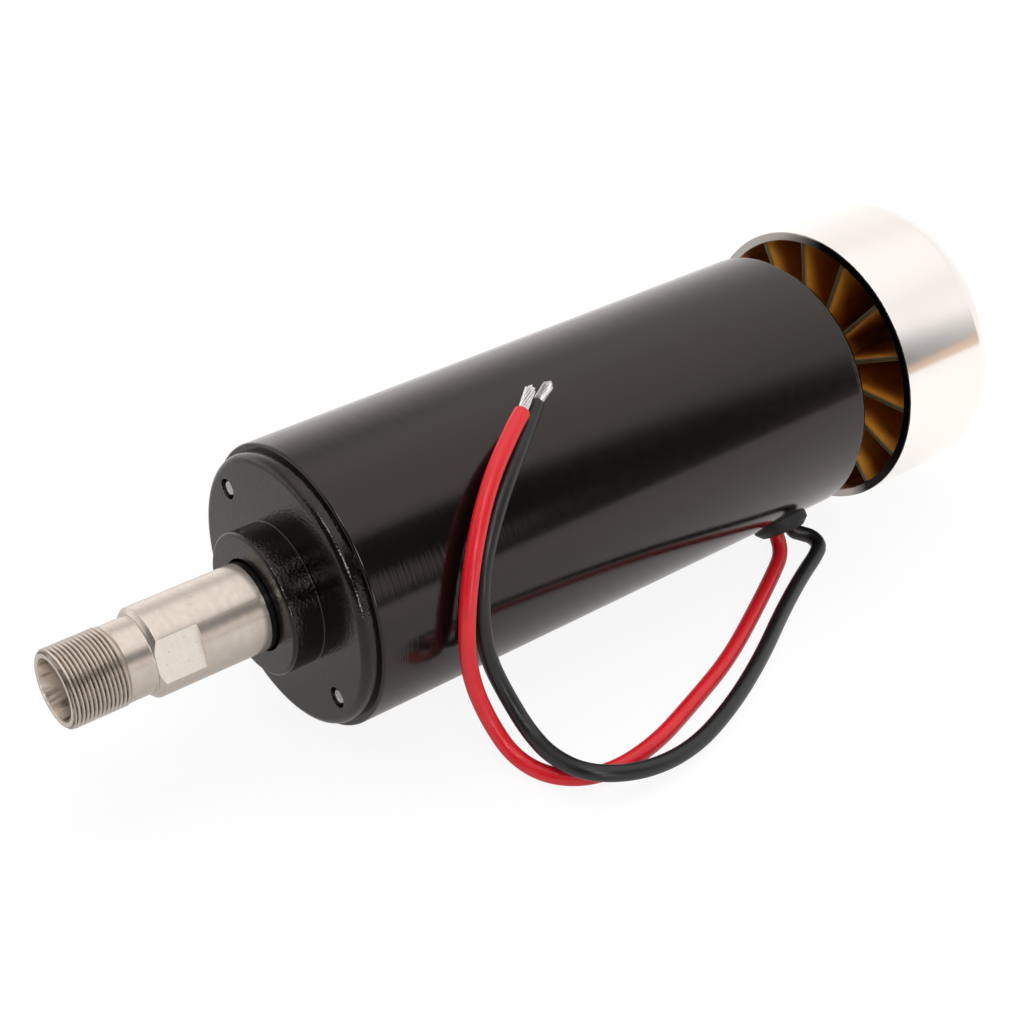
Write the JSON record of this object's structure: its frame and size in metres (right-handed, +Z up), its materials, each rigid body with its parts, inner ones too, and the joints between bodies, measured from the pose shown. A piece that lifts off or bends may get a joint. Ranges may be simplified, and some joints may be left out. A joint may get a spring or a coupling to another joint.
{
  "type": "motor_spindle",
  "caption": "Air-cooled brushed spindle motor: black steel body, taper-collet nose with a thread, finned fan wheel in a polished cup, and red and black leads.",
  "frame": {"origin": "on the spindle axis, in the plane of the front cover's face round the boss", "axes": "+X along the spindle axis, back through the body to the fan wheel, with the nose towards -X; +Z up; the part lies on its side on the tube and the cup, and the leads lie on the -Y side"},
  "size_m": [0.1956, 0.0836, 0.0581],
  "materials": {
    "black_enamel": "satin black stove enamel with a fine orange-peel",
    "turned_steel": "turned and ground, satin",
    "polished_steel": "mirror polished",
    "amber_plastic": "dark amber moulded nylon, satin gloss",
    "rubber": "matt",
    "red_pvc": "satin wire insulation",
    "black_pvc": "satin wire insulation",
    "tinned_copper": "tinned strands",
    "bearing_steel": "ground",
    "zinc_steel": "zinc plated",
    "black_steel": "black oxide",
    "spring_steel": "oiled",
    "ferrite": "sintered ferrite, matt",
    "lamination": "stacked electrical steel",
    "slot_insulator": "pressed fibre",
    "winding_copper": "enamelled copper wire, varnished",
    "moulding": "phenolic moulding",
    "commutator_copper": "turned copper with a brown track",
    "laminate": "brown resin laminate",
    "brass": "pressed sheet",
    "carbon": "pressed carbon",
    "bush_alloy": "turned"
  },
  "bodies": {
    "stator": {"housing_tube": "black_enamel", "front_cover": "black_enamel", "rear_cover": "black_enamel", "tie_bolts": "zinc_steel", "front_bearing_outer_ring": "bearing_steel", "front_bearing_shields": "zinc_steel", "rear_bearing_outer_ring": "bearing_steel", "rear_bearing_shields": "zinc_steel", "bearing_circlip": "spring_steel", "wave_washer": "spring_steel", "magnet_upper": "ferrite", "magnet_lower": "ferrite", "brush_plate": "laminate", "brush_holder_upper": "brass", "brush_holder_lower": "brass", "brush_spring_upper": "spring_steel", "brush_spring_lower": "spring_steel", "cable_grommet": "rubber", "red_lead": "red_pvc", "red_tip": "tinned_copper", "black_lead": "black_pvc", "black_tip": "tinned_copper"},
    "rotor": {"spindle_shaft": "turned_steel", "front_bearing_inner_ring": "bearing_steel", "rear_bearing_inner_ring": "bearing_steel", "armature_core": "lamination", "armature_insulators": "slot_insulator", "armature_windings": "winding_copper", "commutator_hub": "moulding", "commutator_bars": "commutator_copper", "fan_cup": "polished_steel", "fan_impeller": "amber_plastic", "fan_bush": "bush_alloy", "fan_grub_screw": "black_steel"},
    "front_ball_train": {"front_bearing_balls": "bearing_steel", "front_bearing_cage": "zinc_steel"},
    "rear_ball_train": {"rear_bearing_balls": "bearing_steel", "rear_bearing_cage": "zinc_steel"},
    "upper_brush": {"brush_upper": "carbon"},
    "lower_brush": {"brush_lower": "carbon"}
  },
  "joints": [
    {"name": "rotor_spin", "type": "hinge", "parent": "stator", "child": "rotor", "pos_m": [0, 0, 0], "axis": [1, 0, 0], "continuous": true},
    {"name": "front_ball_orbit", "type": "hinge", "parent": "stator", "child": "front_ball_train", "pos_m": [0.006, 0, 0], "axis": [1, 0, 0], "continuous": true},
    {"name": "rear_ball_orbit", "type": "hinge", "parent": "stator", "child": "rear_ball_train", "pos_m": [0.11, 0, 0], "axis": [1, 0, 0], "continuous": true},
    {"name": "upper_brush_slide", "type": "slide", "parent": "stator", "child": "upper_brush", "axis": [0, 0, 1], "range_m": [0, 0.0015], "stiffness_N_per_m": 150, "springref_m": -0.004, "deforming": ["brush_spring_upper"]},
    {"name": "lower_brush_slide", "type": "slide", "parent": "stator", "child": "lower_brush", "axis": [0, 0, -1], "range_m": [0, 0.0015], "stiffness_N_per_m": 150, "springref_m": -0.004, "deforming": ["brush_spring_lower"]}
  ],
  "couplings": [
    {"joint": "front_ball_orbit", "follows": "rotor_spin", "ratio": 0.381},
    {"joint": "rear_ball_orbit", "follows": "rotor_spin", "ratio": 0.368}
  ]
}
